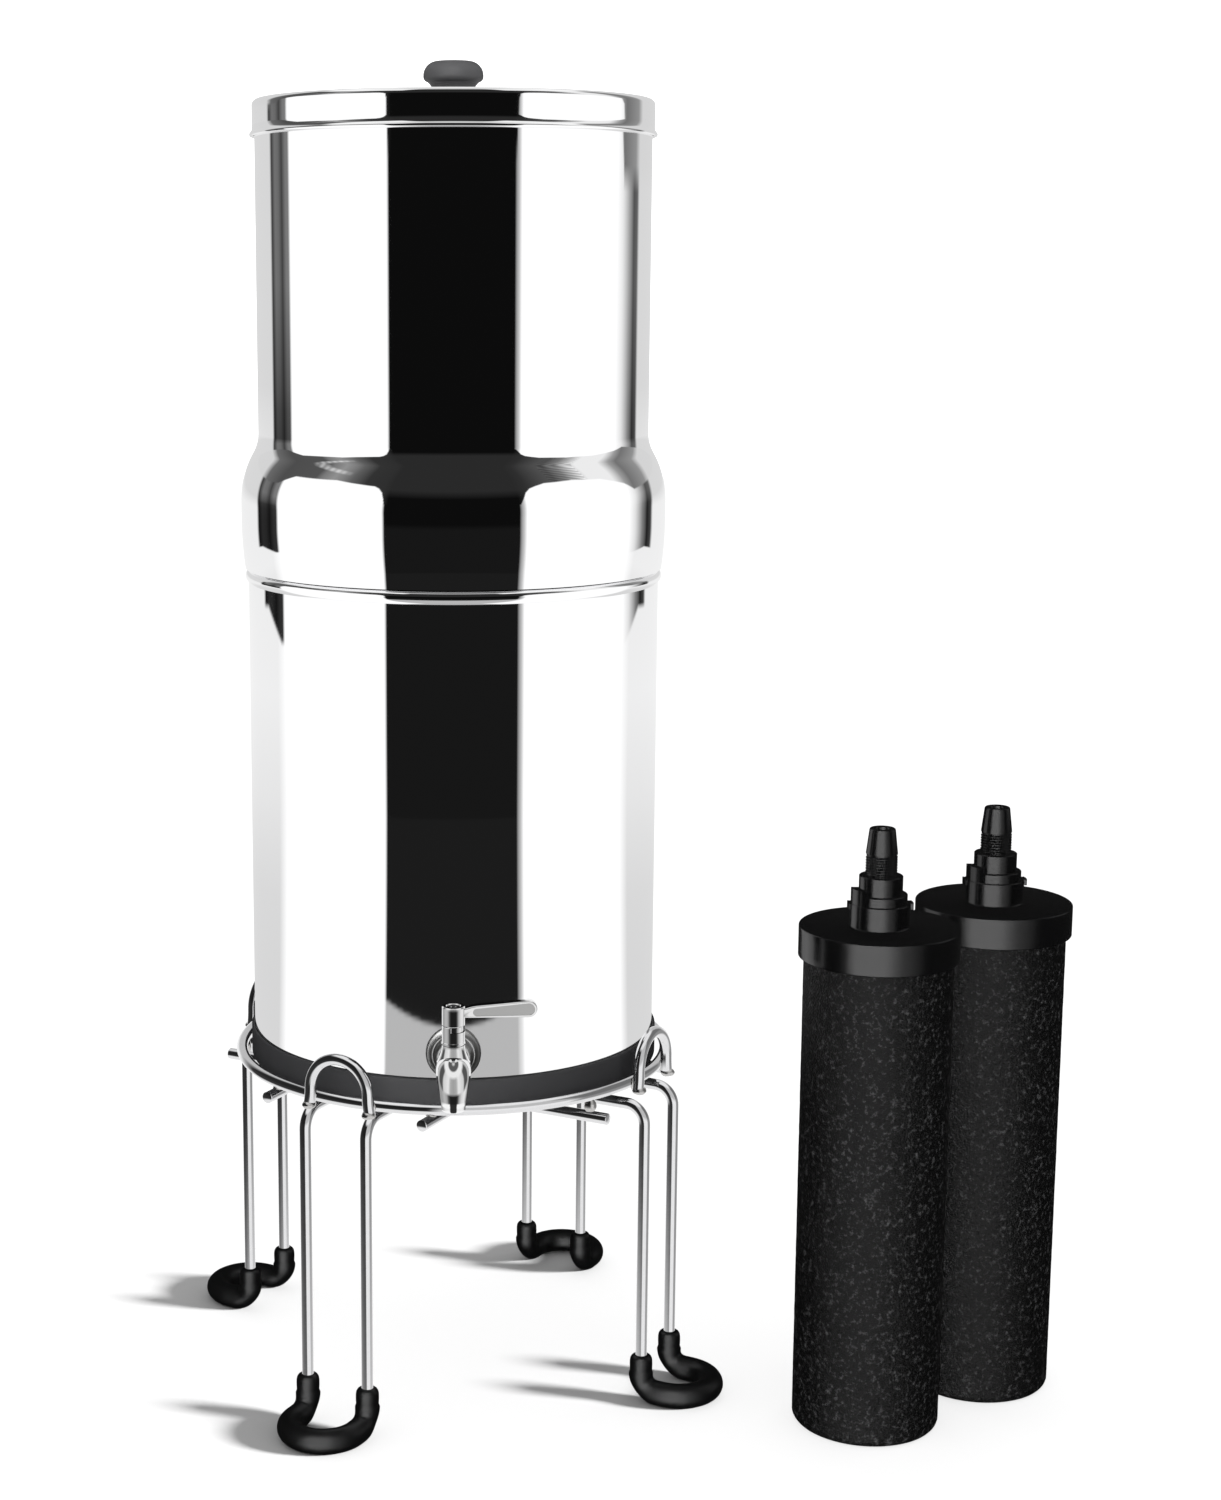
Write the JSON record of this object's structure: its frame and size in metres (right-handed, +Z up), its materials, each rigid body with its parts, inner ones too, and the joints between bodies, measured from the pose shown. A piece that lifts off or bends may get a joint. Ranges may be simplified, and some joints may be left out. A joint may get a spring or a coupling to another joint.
{
  "type": "gravity water filter",
  "caption": "Gravity water filter: polished steel upper and lower chambers with lid and knob on a wire stand, lever tap at the front, and loose carbon filter elements standing beside it.",
  "frame": {"origin": "on the floor, at the middle of the whole set: the unit with its stand and the two elements beside it", "axes": "+Z up along the chambers, the tap faces -Y, and the loose elements stand on the +X side"},
  "size_m": [0.4678, 0.2992, 0.6947],
  "materials": {
    "polished_steel": "mirror polished stainless sheet",
    "chrome_wire": "bright polished wire",
    "tap_steel": "bright polished casting",
    "valve_steel": "turned steel",
    "black_rubber": "matte moulded rubber",
    "grey_rubber": "matte moulded rubber",
    "knob_plastic": "fine matte plastic",
    "plug_plastic": "fine matte plastic",
    "carbon": "grainy pressed carbon",
    "cap_plastic": "satin moulded plastic"
  },
  "bodies": {
    "stand": {"stand_ring": "chrome_wire", "front_left_leg": "chrome_wire", "front_right_leg": "chrome_wire", "back_right_leg": "chrome_wire", "back_left_leg": "chrome_wire", "upper_deck_wires": "chrome_wire", "lower_deck_wires": "chrome_wire", "upper_cross_rods": "chrome_wire", "lower_cross_rods": "chrome_wire", "front_left_arch": "chrome_wire", "front_right_arch": "chrome_wire", "back_right_arch": "chrome_wire", "back_left_arch": "chrome_wire", "front_left_boot": "black_rubber", "front_right_boot": "black_rubber", "back_right_boot": "black_rubber", "back_left_boot": "black_rubber"},
    "lower_chamber": {"lower_chamber": "polished_steel", "base_ring": "grey_rubber", "tap_body": "tap_steel", "tap_outer_washer": "black_rubber", "tap_inner_washer": "black_rubber", "tap_lock_nut": "tap_steel"},
    "tap_lever": {"tap_lever": "tap_steel", "valve_core": "valve_steel", "core_o_rings": "black_rubber", "lever_screw": "valve_steel"},
    "upper_chamber": {"upper_chamber": "polished_steel", "blanking_plugs": "plug_plastic", "plug_washers": "black_rubber", "plug_wing_nuts": "plug_plastic"},
    "lid": {"lid": "polished_steel", "lid_knob": "knob_plastic", "knob_screw": "valve_steel", "knob_washer": "black_rubber"},
    "near_element": {"near_carbon_block": "carbon", "near_end_cap": "cap_plastic"},
    "far_element": {"far_carbon_block": "carbon", "far_end_cap": "cap_plastic"}
  },
  "joints": [
    {"name": "chamber_lift", "type": "slide", "parent": "stand", "child": "lower_chamber", "axis": [0, 0, 1], "range_m": [0, 0.12]},
    {"name": "upper_lift", "type": "slide", "parent": "lower_chamber", "child": "upper_chamber", "axis": [0, 0, 1], "range_m": [0, 0.15]},
    {"name": "lid_lift", "type": "slide", "parent": "upper_chamber", "child": "lid", "axis": [0, 0, 1], "range_m": [0, 0.3]},
    {"name": "lever_turn", "type": "hinge", "parent": "lower_chamber", "child": "tap_lever", "pos_m": [-0.08985, -0.1304, 0.2028], "axis": [0, 0, 1], "range_deg": [-90, 0]},
    {"name": "near_element_lift", "type": "slide", "parent": "stand", "child": "near_element", "axis": [0, 0, 1], "range_m": [0, 0.2]},
    {"name": "far_element_lift", "type": "slide", "parent": "stand", "child": "far_element", "axis": [0, 0, 1], "range_m": [0, 0.2]}
  ]
}
